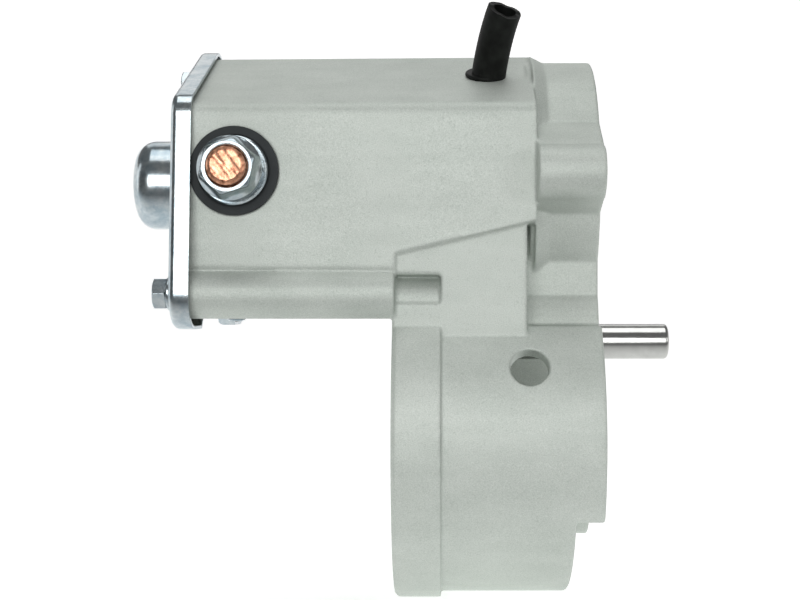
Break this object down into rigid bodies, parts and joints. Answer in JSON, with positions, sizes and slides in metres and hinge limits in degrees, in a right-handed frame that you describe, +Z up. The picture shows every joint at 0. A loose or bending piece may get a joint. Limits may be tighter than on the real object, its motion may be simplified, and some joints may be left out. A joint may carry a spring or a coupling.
{
  "type": "starter motor magnetic switch and gear housing",
  "caption": "Die-cast gear-case housing of an offset gear-reduction starter with its built-in magnetic switch, battery stud, vent tube and idler gear pin.",
  "frame": {"origin": "centre of the motor register at the flange face that the motor frame bolts to", "axes": "+X along the motor's axis towards the pinion end, +Z up towards the switch, +Y to the far side"},
  "size_m": [0.1573, 0.115, 0.1701],
  "materials": {
    "cast_aluminium": "blasted",
    "zinc_plate": "bright zinc",
    "copper": "worn copper",
    "black_moulding": "matt",
    "soft_steel": "turned",
    "ground_steel": "ground",
    "spring_steel": "drawn",
    "brass": "drawn",
    "nylon": "moulded",
    "enamelled_wire": "enamelled",
    "gasket_paper": "matt",
    "rubber": "matt"
  },
  "bodies": {
    "case": {"housing": "cast_aluminium", "end_cover": "zinc_plate", "cover_bolts": "zinc_plate", "cover_spring_washers": "zinc_plate", "battery_nut": "zinc_plate", "battery_washer": "zinc_plate", "motor_nut": "zinc_plate", "motor_washer": "zinc_plate", "switch_nut": "zinc_plate", "battery_lock_washer": "zinc_plate", "motor_lock_washer": "zinc_plate", "switch_stud": "zinc_plate", "battery_stud": "copper", "battery_contact": "copper", "motor_stud": "copper", "motor_contact": "copper", "battery_insulator": "black_moulding", "battery_inner_insulator": "black_moulding", "motor_insulator": "black_moulding", "motor_inner_insulator": "black_moulding", "switch_insulator": "black_moulding", "fixed_core": "soft_steel", "coil_yoke": "soft_steel", "rear_pole_plate": "soft_steel", "idler_pin": "ground_steel", "plunger_sleeve": "brass", "coil_bobbin": "nylon", "pull_in_winding": "enamelled_wire", "hold_in_winding": "enamelled_wire", "cover_gasket": "gasket_paper", "vent_tube": "rubber", "vent_grommet": "rubber"},
    "plunger": {"plunger": "soft_steel", "push_rod": "ground_steel", "spring_retainer": "spring_steel", "retaining_clip": "spring_steel", "contact_spring": "spring_steel", "return_spring": "spring_steel"},
    "contact_plate": {"contact_plate": "copper", "contact_bush": "black_moulding"}
  },
  "joints": [
    {"name": "plunger_slide", "type": "slide", "parent": "case", "child": "plunger", "axis": [1, 0, 0], "range_m": [0, 0.008], "stiffness_N_per_m": 1500, "springref_m": -0.012, "deforming": ["return_spring"]},
    {"name": "contact_plate_slide", "type": "slide", "parent": "plunger", "child": "contact_plate", "axis": [1, 0, 0], "range_m": [-0.0015, 0], "deforming": ["contact_spring"]}
  ],
  "couplings": [
    {"joint": "contact_plate_slide", "follows": "plunger_slide", "ratio": -0.1875}
  ]
}
